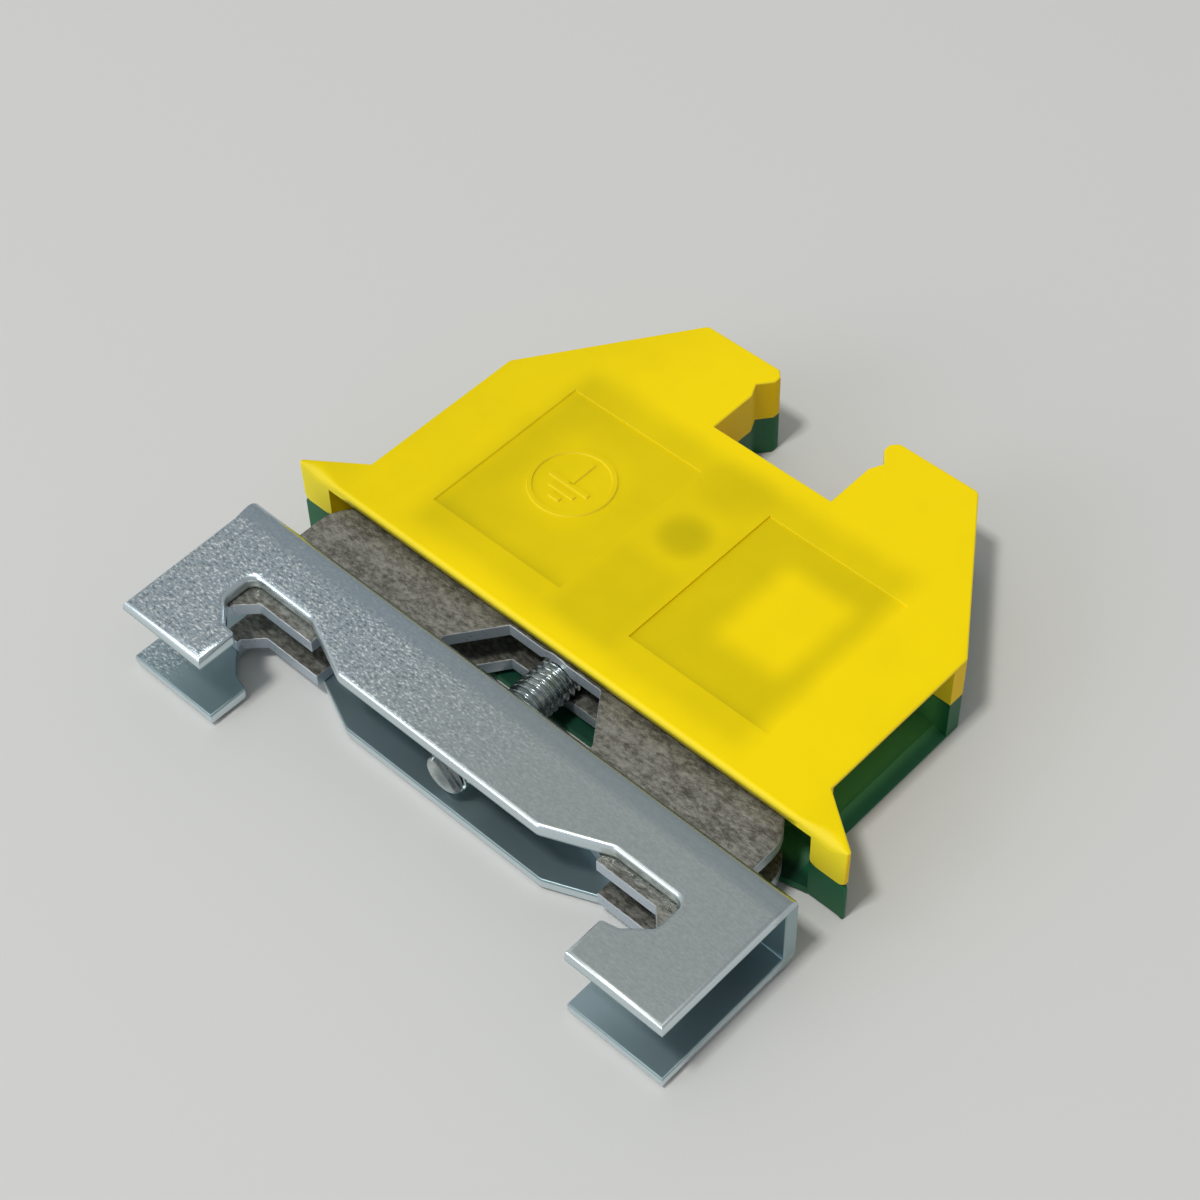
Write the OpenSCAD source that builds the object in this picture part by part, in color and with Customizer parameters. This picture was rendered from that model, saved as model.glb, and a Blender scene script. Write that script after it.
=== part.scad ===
// Protective-earth terminal block for a top-hat mounting rail, lying on its green side.
// X runs along the conductors, Y from the rail foot up to the screw openings and
// Z through the thickness. Inside the modules Y starts at the toes of the rail foot
// and Z at the parting plane; placed() moves every piece to the common origin.

/* [Rail] */
// Width of the mounting rail over its flanges
rail_w = 35; // [30:0.5:40]
// Play between a flange edge and the closed end of its notch
rail_play = 0.65; // [0.3:0.05:1.2]

/* [Rail foot] */
// Sheet thickness of the folded foot
foot_t = 1; // [0.8:0.1:1.4]
// Height of the foot from its toes to the outer face of its web
foot_h = 11.5; // [11:0.1:14]
// Outer radius of the two folds
fold_r = 0.9; // [0.3:0.1:1]
// Metal outside each rail notch
foot_end_w = 4.55; // [3:0.05:6]
// Reach of a toe under the rail flange
toe_reach = 2.75; // [2:0.05:3.2]
// Height of a toe
toe_h = 2.95; // [2.4:0.05:3.6]
// Open height between a toe and the jaws above it
mouth_h = 3.15; // [2.6:0.05:3.6]
// Height of the notch above the edge of the jaws
notch_over = 0.85; // [0.4:0.05:1.2]
// Radius of the closed end of a notch
notch_r = 0.7; // [0.3:0.05:0.9]
// Rise of the top of a toe towards the root
toe_rise = 0.3; // [0.1:0.05:0.5]
// Height of the ramp at the root of a toe
ramp_h = 1.4; // [0.8:0.05:1.8]
// Run of the ramp at the root of a toe
ramp_run = 1.6; // [1:0.05:1.8]
// Depth of the skirt between the two notches
skirt_h = 1.9; // [1:0.05:2.6]
// Distance from a toe to the slanted edge of the skirt
skirt_gap = 2.6; // [1.5:0.1:4]
// Run of the slanted edge at each end of the skirt
skirt_run = 4.4; // [3:0.1:5.5]
// Radius of the bends in the lower edge of the skirt
skirt_r = 1; // [0.4:0.1:1.4]
// Width of the bridge of web round the tapped hole
bridge_w = 8.4; // [6:0.2:9]
// Height of the tapped collar under the web
collar_h = 1.5; // [0.8:0.1:2]
// Wall of the tapped collar
collar_wall = 0.4; // [0.3:0.05:0.6]

/* [Contact plates] */
// Thickness of a contact plate
plate_t = 1; // [0.8:0.1:1.3]
// Gap between the two contact plates
plate_gap = 2.4; // [1.8:0.1:2.6]
// Play between a contact plate and the leg of the foot beside it
slide_play = 0.05; // [0.03:0.01:0.15]
// Reach of the plates past the edge of the rail
spur_reach = 1.65; // [1.2:0.05:2]
// Height of the spur that centres the rail
spur_h = 1.5; // [0.8:0.05:2]
// Run of the slanted edge of a spur
spur_run = 1.2; // [0.6:0.05:1.4]
// Reach of that slanted edge past the edge of the rail
spur_past = 0.4; // [0.2:0.05:0.6]
// Length of a jaw along the rail flange
jaw_l = 7.1; // [5:0.1:8]
// Height of a jaw before the plate widens above it
jaw_h = 1.6; // [1:0.1:2]
// Rise of the slanted edge from a jaw to the centre notch
jaw_rise = 1.6; // [1:0.1:2]
// Width of the centre notch at its top
notch_w = 7.7; // [6.4:0.1:8.2]
// Distance of the centre notch below the edge of the housing
notch_under = 0.05; // [0:0.05:0.4]
// Depth of the slanted sides of the centre notch
notch_h = 3.35; // [2.5:0.05:3.6]
// Run of the slanted sides of the centre notch
notch_run = 2.45; // [1.6:0.05:3]
// Radius of the upper outer corners of the plates
plate_corner_r = 3; // [1:0.1:3.4]
// Radius of the inner corners of the plates
plate_fillet = 0.4; // [0.2:0.05:0.6]
// Depth of the plate shoulders inside the housing
plate_in = 1; // [0.5:0.05:1.2]
// Rise of the plates from their shoulders to the root of the upright
plate_rise = 2; // [1.2:0.1:2.4]
// Wall of the half-round swage round the rail screw
swage_t = 0.7; // [0.5:0.05:0.9]
// Flat beside the swage on the upright of a plate
upright_flat = 1.8; // [1.6:0.1:2.4]
// Width of the tabs staked into the current bar
tab_w = 1.2; // [0.8:0.1:1.4]
// Distance of a tab from the edge of the upright
tab_in = 0.4; // [0.2:0.05:0.5]

/* [Screws] */
// Diameter of the screw threads
screw_d = 3; // [2.6:0.1:3.4]
// Diameter of the screw heads
head_d = 4.4; // [4:0.1:5]
// Height of the screw heads
head_h = 1.8; // [1.4:0.1:2.4]
// Width of the driver slots
slot_w = 0.8; // [0.5:0.05:1]
// Depth of the driver slots
slot_depth = 0.9; // [0.6:0.05:1]
// Chamfer on heads and tips
screw_chamfer = 0.3; // [0.1:0.05:0.5]
// Radial play where a screw passes a plain hole
hole_play = 0.2; // [0.1:0.02:0.3]
// Radial play between a screw and its tapped hole
thread_play = 0.05; // [0.02:0.01:0.1]
// Play left under a screw head or tip
seat_play = 0.05; // [0.02:0.01:0.1]
// Distance of the rail screw's tip above the edge of the skirt
tip_in = 0.25; // [0:0.05:1]
// Height of the peened rim on that tip
peen_h = 0.6; // [0.4:0.05:0.8]
// Overhang of the peened rim past the thread
peen_out = 0.25; // [0.15:0.05:0.35]

/* [Current bar and yokes] */
// Width of the current bar between the yoke walls
bar_w = 3.2; // [2.8:0.1:3.6]
// Thickness of the current bar
bar_t = 1.5; // [1:0.1:2]
// Reach of the current bar past each yoke
bar_end = 1; // [0.4:0.1:2]
// Sheet thickness of a clamping yoke
yoke_t = 0.7; // [0.5:0.05:0.9]
// Length of a clamping yoke along the conductor
yoke_l = 6; // [5:0.1:7]
// Thickness of the floor that lifts the conductor
yoke_floor = 1; // [0.7:0.05:1.4]
// Height left for the conductor with the yoke open
wire_h = 3.8; // [3:0.1:4.6]
// Height left for the conductor with the yoke closed
wire_min_h = 0.4; // [0.2:0.1:1]
// Height of the tapped top of a yoke
yoke_top = 2.6; // [2:0.1:3.2]
// Gap between the current bar and the top of an open yoke
yoke_gap = 0.8; // [0.4:0.1:1.2]
// Outer radius of the folds of a yoke
yoke_r = 0.7; // [0.3:0.1:0.9]
// Play between a yoke and the current bar
yoke_play = 0.1; // [0.05:0.01:0.2]
// Number of grip grooves in the yoke floor
grip_count = 3; // [1:1:5]
// Size of a grip groove
grip_size = 0.4; // [0.2:0.05:0.5]

/* [Housing] */
// Thickness of the outer skin of each half
skin = 0.8; // [0.6:0.05:1.2]
// Play beside the metal parts across the thickness
side_play = 0.2; // [0.1:0.05:0.4]
// Wall along the rim
rim = 1; // [0.8:0.1:1.4]
// Wall between the chambers
partition_t = 0.6; // [0.5:0.05:0.8]
// Gap between the rail foot and the lower edge of the housing
foot_gap = 3.9; // [3.6:0.1:5]
// Margin of the housing past the contact plates
body_margin = 0.2; // [0.1:0.05:1.5]
// Reach of a wing past the straight side
wing_reach = 3.7; // [2.5:0.05:5]
// Height of a wing at its root
wing_h = 3; // [2.4:0.05:4]
// Height of the blunt tip of a wing
wing_tip_h = 0.3; // [0.2:0.05:0.8]
// Radius of the edges of that tip
wing_tip_r = 0.15; // [0.05:0.01:0.3]
// Width of the wing wall along the lower edge
wing_wall = 2.7; // [2:0.05:3]
// Depth of the sill of the green half under the lower edge, between the wings
sill_h = 0.35; // [0.1:0.05:0.5]
// Thickness of the ribs that guide the conductor
guide_t = 0.7; // [0.5:0.05:0.9]
// Gap under an open yoke
yoke_under = 1.3; // [0.6:0.1:2]
// Headroom over a closed yoke
yoke_over = 1.2; // [0.6:0.1:2]
// Drop from the chamber ceiling to the outer shoulder
shoulder_drop = 2.9; // [2:0.1:4]
// Height of the closed side under the outer shoulder
side_closed = 1.25; // [1.2:0.05:3]
// Thickness of the valley floor
valley_floor = 1.6; // [1.2:0.1:2.4]
// Height of the horns over the valley floor
horn_h = 6.9; // [5.5:0.1:9]
// Diameter of the driver openings
driver_d = 4; // [3.6:0.1:4.4]
// Wall between a driver opening and the valley
horn_wall_in = 1.35; // [1:0.05:2]
// Wall between a driver opening and the outer slope
horn_wall_out = 1.2; // [0.8:0.05:2]
// Reach of the marker lip at the top of a horn
lip_reach = 0.3; // [0.1:0.05:0.5]
// Height of the marker lip
lip_h = 1.1; // [0.8:0.05:1.4]
// Depth of the marker groove under the lip
groove_depth = 0.5; // [0.2:0.05:0.7]
// Height of each flank of the marker groove
groove_h = 1; // [0.6:0.05:1.4]
// Radius of the outer corners
corner_r = 0.5; // [0.2:0.05:0.9]
// Distance between the two recessed panels
panel_gap = 5.8; // [4:0.1:8]
// Width of a recessed panel
panel_w = 11.2; // [8:0.1:13]
// Height of a recessed panel
panel_h = 13.3; // [8:0.1:15]
// Height of the panels above the lower edge of the housing
panel_up = 3.5; // [2:0.1:5]
// Depth of the recessed panels
panel_depth = 0.12; // [0.05:0.01:0.25]
// Diameter of the pegs that join the halves
peg_d = 1.8; // [1:0.1:2.2]
// Length of the pegs
peg_h = 1.4; // [0.8:0.1:2]
// Radial play of the pegs in their sockets
peg_play = 0.04; // [0.02:0.01:0.1]

/* [Hidden] */
$fn = 64;
arc_steps = 6;
eps = 0.01;

// Widths across the thickness, from the metal parts outwards
plate_span = plate_gap + 2 * plate_t;
foot_inner = plate_span + 2 * slide_play;
foot_w = foot_inner + 2 * foot_t;
swage_in_r = screw_d / 2 + hole_play;
swage_r = swage_in_r + swage_t;
yoke_inner = bar_w + 2 * yoke_play;
yoke_w = yoke_inner + 2 * yoke_t;
head_bore_d = head_d + 2 * hole_play;
core_w = max(2 * swage_r, yoke_w, head_bore_d, plate_span);
chamber_w = core_w + 2 * side_play;
housing_t = chamber_w + 2 * skin;
half_t = housing_t / 2;
mid_z = max(housing_t, foot_w) / 2;

// Places along the rail, from the rail outwards
notch_end = rail_w / 2 + rail_play;
foot_half = notch_end + foot_end_w;
toe_x = notch_end - toe_reach;
skirt_end = toe_x - skirt_gap;
plate_half = rail_w / 2 + spur_reach;
jaw_x = plate_half - jaw_l;
spur_x = rail_w / 2 + spur_past;
body_half = plate_half + body_margin;
wing_half = body_half + wing_reach;
wing_in = wing_half - wing_wall;

// Places along the rail, from the rail screw outwards
upright_half = swage_r + upright_flat;
bar_mid_half = upright_half + hole_play;
partition_x = bar_mid_half + hole_play / 2;
yoke_x0 = partition_x + partition_t + side_play;
terminal_x = yoke_x0 + yoke_l / 2;
yoke_x1 = yoke_x0 + yoke_l;
bar_half = yoke_x1 + bar_end;
valley_half = terminal_x - driver_d / 2 - horn_wall_in;
horn_half = terminal_x + driver_d / 2 + horn_wall_out;

// Heights above the toes
jaw_y = toe_h + mouth_h;
notch_top_y = jaw_y + notch_over;
skirt_y = notch_top_y - skirt_h;
tip_y = skirt_y + tip_in;
web_y = foot_h - foot_t;
base_y = foot_h + foot_gap;
plate_top_y = base_y + plate_in;
plate_rise_y = plate_top_y + plate_rise;
centre_notch_y = base_y - notch_under;
entry_y = base_y + wing_h + side_play;
yoke_y = entry_y + yoke_under;
bar_y = yoke_y + yoke_floor + wire_h;
bar_top_y = bar_y + bar_t;
yoke_top_y = bar_top_y + yoke_gap + yoke_top;
yoke_travel = wire_h - wire_min_h;
ceiling_y = yoke_top_y + yoke_travel + yoke_over;
shoulder_y = ceiling_y - shoulder_drop;
entry_top_y = shoulder_y - side_closed;
valley_y = ceiling_y + valley_floor;
top_y = valley_y + horn_h;
terminal_head_y = ceiling_y + hole_play;
head_bore_top_y = terminal_head_y + head_h + hole_play;

// Outer slope from the shoulder to the top of a horn, and the same line one rim inwards
slope_run = (body_half - horn_half) / (top_y - shoulder_y);
rim_run = rim * sqrt(1 + slope_run * slope_run);
function slope_x(y) = body_half - (y - shoulder_y) * slope_run;
peg_y = valley_y;
peg_x = (terminal_x + head_bore_d / 2 + slope_x(peg_y)) / 2;

// Outline helpers: a corner is [x, y, radius], and each radius becomes a tangent arc
function unit(v) = v / norm(v);
function flat(p) = [p[0], p[1]];
function turn(from, to) = (to - from + 540) % 360 - 180;
function arc_corner(a, b, c, r) =
    let (
        u = unit(a - b),
        v = unit(c - b),
        half = acos(u * v) / 2,
        centre = b + unit(u + v) * r / sin(half),
        first = b + u * r / tan(half) - centre,
        last = b + v * r / tan(half) - centre,
        start = atan2(first[1], first[0]),
        sweep = turn(start, atan2(last[1], last[0]))
    )
    [for (i = [0 : arc_steps])
        centre + r * [cos(start + sweep * i / arc_steps), sin(start + sweep * i / arc_steps)]];
function rounded(points) =
    let (n = len(points))
    [for (i = [0 : n - 1])
        let (p = points[i])
        each p[2] == 0
            ? [flat(p)]
            : arc_corner(flat(points[(i + n - 1) % n]), flat(p), flat(points[(i + 1) % n]), p[2])];
function both_sides(points) =
    concat(points, [for (i = [len(points) - 1 : -1 : 0]) [-points[i][0], points[i][1], points[i][2]]]);

// Moves a piece from the working frame to the origin under the middle of the block
module placed() {
    translate([0, -top_y / 2, mid_z])
        children();
}

// Repeats a shape on the left of the screw axis
module on_both_sides() {
    children();
    mirror([1, 0, 0])
        children();
}

// Round bar along Y on the parting plane
module rod(y0, y1, d) {
    translate([0, y0, 0])
        rotate([-90, 0, 0])
            cylinder(h = y1 - y0, d = d);
}

// Tapered round bar along Y on the parting plane
module taper(y0, y1, d0, d1) {
    translate([0, y0, 0])
        rotate([-90, 0, 0])
            cylinder(h = y1 - y0, d1 = d0, d2 = d1);
}

// Sheet cut from an outline, from height z0 to z1
module sheet(z0, z1) {
    translate([0, 0, z0])
        linear_extrude(z1 - z0)
            children();
}

// Profile in the Y-Z plane, drawn out along X from x0 to x1
module drawn_along_x(x0, x1) {
    translate([x0, 0, 0])
        rotate([90, 0, 90])
            linear_extrude(x1 - x0)
                children();
}

// Housing

module housing_outline() {
    tip_r = min(wing_tip_r, wing_tip_h / 2);
    polygon(rounded(both_sides([
        [wing_half, base_y, tip_r],
        [wing_half, base_y + wing_tip_h, tip_r],
        [body_half, base_y + wing_h, 0],
        [body_half, shoulder_y, corner_r],
        [horn_half, top_y, corner_r],
        [valley_half - lip_reach + corner_r, top_y, 0],
        [valley_half - lip_reach, top_y - corner_r, 0],
        [valley_half - lip_reach, top_y - lip_h, 0],
        [valley_half + groove_depth, top_y - lip_h - groove_h, 0],
        [valley_half, top_y - lip_h - 2 * groove_h, 0],
        [valley_half, valley_y, 0]
    ])));
}

// Right half of the chamber, open at the lower edge and at the side
module chamber() {
    wing_slant = wing_reach / (wing_h - wing_tip_h);
    guide_y = entry_y - guide_t;
    out = body_half + rim;
    polygon([
        [-eps, base_y - rim],
        [wing_in, base_y - rim],
        [wing_in, base_y],
        [wing_in - (guide_y - base_y) * wing_slant, guide_y],
        [bar_half, guide_y],
        [bar_half, entry_y],
        [out, entry_y],
        [out, entry_top_y],
        [bar_half, entry_top_y],
        [bar_half, entry_top_y + guide_t],
        [body_half - rim, entry_top_y + guide_t],
        [body_half - rim, shoulder_y - (rim_run - rim) / slope_run],
        [slope_x(ceiling_y) - rim_run, ceiling_y],
        [-eps, ceiling_y]
    ]);
}

// Wall between the rail-screw chamber and a yoke chamber
module partition() {
    translate([partition_x, plate_rise_y + hole_play])
        square([partition_t, ceiling_y - plate_rise_y]);
}

module screw_bores() {
    rod(ceiling_y - eps, valley_y + eps, driver_d);
    on_both_sides()
        translate([terminal_x, 0, 0]) {
            rod(ceiling_y - eps, head_bore_top_y, head_bore_d);
            rod(head_bore_top_y - eps, top_y + eps, driver_d);
        }
}

module bar_slot() {
    slot_h = bar_t + 2 * seat_play;
    slot_z = bar_w + 2 * seat_play;
    translate([-bar_half, bar_y - seat_play, -slot_z / 2])
        cube([2 * bar_half, slot_h, slot_z]);
}

module panel_recess() {
    translate([panel_gap / 2, base_y + panel_up, -half_t - eps])
        cube([panel_w, panel_h, panel_depth + eps]);
}

// One half, with its skin below and its open side at the parting plane
module housing_half() {
    difference() {
        union() {
            sheet(-half_t, skin - half_t)
                housing_outline();
            sheet(-half_t, 0)
                difference() {
                    housing_outline();
                    on_both_sides()
                        chamber();
                }
            sheet(-half_t, 0)
                on_both_sides()
                    partition();
        }
        screw_bores();
        bar_slot();
        on_both_sides()
            panel_recess();
    }
}

// Strip of the green skin that reaches under the lower edge
module sill() {
    translate([-wing_in, base_y - sill_h, -half_t])
        cube([2 * wing_in, sill_h + eps, skin]);
}

module pegs(d, z1) {
    on_both_sides()
        translate([peg_x, peg_y, -eps])
            cylinder(h = z1 + eps, d = d);
}

module yellow_half() {
    color("gold")
        placed()
            mirror([0, 0, 1])
                union() {
                    housing_half();
                    pegs(peg_d, peg_h);
                }
}

module green_half() {
    color("seagreen")
        placed()
            difference() {
                union() {
                    housing_half();
                    sill();
                }
                mirror([0, 0, 1])
                    pegs(peg_d + 2 * peg_play, peg_h + hole_play);
            }
}

// Contact plates

module contact_outline() {
    notch_half = notch_w / 2;
    tab_x = upright_half - tab_in;
    polygon(rounded(both_sides([
        [notch_half, centre_notch_y, 0],
        [notch_half + notch_run, centre_notch_y - notch_h, 0],
        [notch_half + notch_run, jaw_y + jaw_h + jaw_rise, plate_fillet],
        [jaw_x, jaw_y + jaw_h, plate_fillet],
        [jaw_x, jaw_y, 0],
        [spur_x - spur_run, jaw_y, 0],
        [spur_x, jaw_y - spur_run, 0],
        [spur_x, jaw_y - spur_h, 0],
        [plate_half, jaw_y - spur_h, 0],
        [plate_half, plate_top_y, plate_corner_r],
        [yoke_x1, plate_top_y, plate_fillet],
        [yoke_x1, plate_rise_y, plate_fillet],
        [upright_half, plate_rise_y, plate_fillet],
        [upright_half, bar_y, 0],
        [tab_x, bar_y, 0],
        [tab_x, bar_top_y, 0],
        [tab_x - tab_w, bar_top_y, 0],
        [tab_x - tab_w, bar_y, 0]
    ])));
}

// Plate above the parting plane, with its swage round the rail screw
module contact_plate() {
    difference() {
        union() {
            sheet(plate_gap / 2, plate_gap / 2 + plate_t)
                contact_outline();
            intersection() {
                rod(centre_notch_y, bar_y, 2 * swage_r);
                translate([-swage_r, centre_notch_y - eps, plate_gap / 2])
                    cube([2 * swage_r, bar_y, swage_r]);
            }
        }
        rod(jaw_y, bar_top_y, 2 * swage_in_r);
    }
}

module upper_contact_plate() {
    color("dimgray")
        placed()
            contact_plate();
}

module lower_contact_plate() {
    color("dimgray")
        placed()
            mirror([0, 0, 1])
                contact_plate();
}

// Current bar

module tab_notch() {
    translate([upright_half - tab_in - tab_w, bar_y - eps, plate_gap / 2])
        cube([tab_w, bar_t + 2 * eps, core_w]);
}

module current_bar() {
    color("goldenrod")
        placed()
            difference() {
                union() {
                    translate([-bar_half, bar_y, -bar_w / 2])
                        cube([2 * bar_half, bar_t, bar_w]);
                    translate([-bar_mid_half, bar_y, -core_w / 2])
                        cube([2 * bar_mid_half, bar_t, core_w]);
                }
                rod(bar_y - eps, bar_top_y + eps, 2 * swage_in_r);
                on_both_sides() {
                    tab_notch();
                    mirror([0, 0, 1])
                        tab_notch();
                }
            }
}

// Rail foot

module foot_profile() {
    half = foot_w / 2;
    difference() {
        union() {
            translate([0, -half])
                square([foot_h - fold_r, foot_w]);
            translate([0, fold_r - half])
                square([foot_h, foot_w - 2 * fold_r]);
            for (side = [-1, 1])
                translate([foot_h - fold_r, side * (half - fold_r)])
                    circle(r = fold_r);
        }
        translate([-eps, -foot_inner / 2])
            square([web_y + eps, foot_inner]);
    }
}

// What is cut out of both legs: the skirt's lower edge and the two rail notches
module rail_cut() {
    ramp_y = toe_h + toe_rise;
    polygon(rounded(both_sides([
        [toe_x, -foot_t, 0],
        [toe_x, toe_h, toe_rise],
        [notch_end - ramp_run, ramp_y, notch_r],
        [notch_end, ramp_y + ramp_h, notch_r],
        [notch_end, notch_top_y, notch_r],
        [skirt_end, notch_top_y, skirt_r],
        [skirt_end - skirt_run, skirt_y, skirt_r]
    ])));
}

module web_slot() {
    translate([bridge_w / 2, web_y - eps, -foot_inner / 2])
        cube([plate_half + hole_play - bridge_w / 2, foot_t + 2 * eps, foot_inner]);
}

module rail_foot() {
    color("lightsteelblue")
        placed()
            difference() {
                union() {
                    drawn_along_x(-foot_half, foot_half)
                        foot_profile();
                    rod(web_y - collar_h, foot_h - fold_r, screw_d + 2 * (thread_play + collar_wall));
                }
                sheet(-foot_w, foot_w)
                    rail_cut();
                rod(skirt_y, foot_h + eps, screw_d + 2 * thread_play);
                on_both_sides()
                    web_slot();
            }
}

// Screws

module driver_slot(y) {
    translate([-head_d, y - slot_depth, -slot_w / 2])
        cube([2 * head_d, slot_depth + eps, slot_w]);
}

// Slotted screw with its head seated at seat_y
module slotted_screw(seat_y, end_y) {
    top = seat_y + head_h;
    difference() {
        union() {
            taper(end_y, end_y + screw_chamfer, screw_d - 2 * screw_chamfer, screw_d);
            rod(end_y + screw_chamfer, seat_y + eps, screw_d);
            rod(seat_y, top - screw_chamfer, head_d);
            taper(top - screw_chamfer, top, head_d, head_d - 2 * screw_chamfer);
        }
        driver_slot(top);
    }
}

module rail_screw() {
    color("silver")
        placed() {
            slotted_screw(bar_top_y + seat_play, tip_y);
            rod(tip_y + screw_chamfer, tip_y + peen_h, screw_d + 2 * peen_out);
        }
}

module terminal_screw(side) {
    color("silver")
        placed()
            translate([side * terminal_x, 0, 0])
                slotted_screw(terminal_head_y, bar_top_y + seat_play);
}

module left_terminal_screw() {
    terminal_screw(-1);
}

module right_terminal_screw() {
    terminal_screw(1);
}

// Clamping yokes

module yoke_profile() {
    half = yoke_w / 2;
    difference() {
        union() {
            translate([yoke_y + yoke_r, -half])
                square([yoke_top_y - yoke_y - 2 * yoke_r, yoke_w]);
            translate([yoke_y, yoke_r - half])
                square([yoke_top_y - yoke_y, yoke_w - 2 * yoke_r]);
            for (side = [-1, 1], y = [yoke_y + yoke_r, yoke_top_y - yoke_r])
                translate([y, side * (half - yoke_r)])
                    circle(r = yoke_r);
        }
        translate([yoke_y + yoke_floor, -yoke_inner / 2])
            square([wire_h + bar_t + yoke_gap, yoke_inner]);
    }
}

// Three-cornered groove across the yoke floor
module grip_groove(x) {
    translate([x, yoke_y + yoke_floor, -yoke_inner / 2])
        linear_extrude(yoke_inner)
            rotate(45)
                square(grip_size / sqrt(2), center = true);
}

module clamping_yoke(side) {
    color("slategray")
        placed()
            translate([side * terminal_x, 0, 0])
                difference() {
                    drawn_along_x(-yoke_l / 2, yoke_l / 2)
                        yoke_profile();
                    rod(bar_top_y, yoke_top_y + eps, screw_d + 2 * thread_play);
                    for (i = [1 : grip_count])
                        grip_groove(yoke_l * (i / (grip_count + 1) - 0.5));
                }
}

module left_clamping_yoke() {
    clamping_yoke(-1);
}

module right_clamping_yoke() {
    clamping_yoke(1);
}

yellow_half();
green_half();
upper_contact_plate();
lower_contact_plate();
current_bar();
rail_foot();
rail_screw();
left_clamping_yoke();
right_clamping_yoke();
left_terminal_screw();
right_terminal_screw();
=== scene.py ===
# %% [markdown]
# # An earth terminal block, dressed over its solids
# The block joins two protective-earth conductors to a metal mounting rail. Two moulded halves, one
# yellow and one green, hold a current bar, two contact plates and two clamping yokes; a folded
# foot below them is drawn up against the rail by a screw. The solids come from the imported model.
# They fix every size, so this lesson only adds what a solid model leaves out: soft edges, threads
# and finishes.

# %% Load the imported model
import math

import bmesh
import bpy
from mathutils import Matrix, Vector


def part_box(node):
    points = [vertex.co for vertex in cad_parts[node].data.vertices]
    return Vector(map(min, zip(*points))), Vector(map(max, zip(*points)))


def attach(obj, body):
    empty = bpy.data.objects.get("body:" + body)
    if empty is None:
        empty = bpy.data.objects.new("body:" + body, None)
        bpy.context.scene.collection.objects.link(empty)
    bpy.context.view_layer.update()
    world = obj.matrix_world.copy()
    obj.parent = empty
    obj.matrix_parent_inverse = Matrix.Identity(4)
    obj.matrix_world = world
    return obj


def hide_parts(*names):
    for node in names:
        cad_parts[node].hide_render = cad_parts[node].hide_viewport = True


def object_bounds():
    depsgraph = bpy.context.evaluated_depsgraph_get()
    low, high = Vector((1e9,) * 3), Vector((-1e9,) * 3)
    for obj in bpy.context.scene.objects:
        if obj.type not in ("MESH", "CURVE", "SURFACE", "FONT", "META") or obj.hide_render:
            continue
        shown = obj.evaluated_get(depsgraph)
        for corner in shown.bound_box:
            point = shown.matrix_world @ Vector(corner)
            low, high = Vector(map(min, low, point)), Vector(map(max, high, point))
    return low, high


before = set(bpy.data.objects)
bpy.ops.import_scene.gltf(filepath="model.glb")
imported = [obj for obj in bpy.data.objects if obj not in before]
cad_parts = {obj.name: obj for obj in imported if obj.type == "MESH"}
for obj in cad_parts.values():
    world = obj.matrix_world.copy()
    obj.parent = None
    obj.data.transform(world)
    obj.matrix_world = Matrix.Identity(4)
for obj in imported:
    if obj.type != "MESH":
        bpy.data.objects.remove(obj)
cad_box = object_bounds()
MM = 0.001
print("pieces in the frame:", ", ".join(sorted(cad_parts)))
print("box in mm:", [[round(value / MM, 2) for value in corner] for corner in cad_box])

# %% [markdown]
# ## The camera
# A camera can be aimed by a constraint or typed in as angles. Here its three axes are written as a
# matrix, because that is what fitting a view to known corners of an object gives: the place of the
# eye, the direction to the right of the picture and the direction of sight. The lens follows from
# the focal length in pixels of a square picture.

# %% Set up the camera
PICTURE_PX = 1200
FOCAL_PX = 2468.1
SENSOR_MM = 36
EYE = Vector((68.526, -71.829, 123.588)) * MM
SIGHT = Vector((-0.451003, 0.460454, -0.764577)).normalized()
RIGHT = Vector((0.731717, 0.681275, -0.021333)).normalized()

camera_data = bpy.data.cameras.new("photo_camera")
camera_data.sensor_width = SENSOR_MM
camera_data.lens = SENSOR_MM * FOCAL_PX / PICTURE_PX
camera_data.clip_start = 10 * MM
camera = bpy.data.objects.new("photo_camera", camera_data)
bpy.context.scene.collection.objects.link(camera)
axes = Matrix((RIGHT, RIGHT.cross(SIGHT), -SIGHT)).transposed()
camera.matrix_world = Matrix.Translation(EYE) @ axes.to_4x4()
bpy.context.scene.camera = camera
print("lens:", round(camera_data.lens, 2), "mm")

# %% [markdown]
# ## Shader maths as Python
# A finish is a small program made of nodes. Linking them by name hides what is being worked out,
# so one class wraps a socket. Adding or multiplying two wires adds a Math node, and any other node
# comes from one method: its settings are set first, then its sockets. Colours are mixed by a Mix
# node, because a Math node would turn them grey.

# %% Wrap a socket so that expressions add nodes
class Wire:
    def __init__(self, tree, socket=None):
        self.tree = tree
        self.socket = socket

    def node(self, kind, settings=None, sockets=None, out=0):
        made = self.tree.nodes.new(kind)
        for name, value in (settings or {}).items():
            setattr(made, name, value)
        for name, value in (sockets or {}).items():
            if isinstance(value, Wire):
                self.tree.links.new(value.socket, made.inputs[name])
            else:
                made.inputs[name].default_value = value
        return Wire(self.tree, made.outputs[out])

    def also(self, out):
        return Wire(self.tree, self.socket.node.outputs[out])

    def maths(self, operation, *values):
        return self.node("ShaderNodeMath", {"operation": operation}, dict(enumerate(values)))

    def __add__(self, other):
        return self.maths("ADD", self, other)

    def __radd__(self, other):
        return self.maths("ADD", other, self)

    def __sub__(self, other):
        return self.maths("SUBTRACT", self, other)

    def __rsub__(self, other):
        return self.maths("SUBTRACT", other, self)

    def __mul__(self, other):
        return self.maths("MULTIPLY", self, other)

    def __rmul__(self, other):
        return self.maths("MULTIPLY", other, self)


print("wires add these by operator: + - *")

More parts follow.
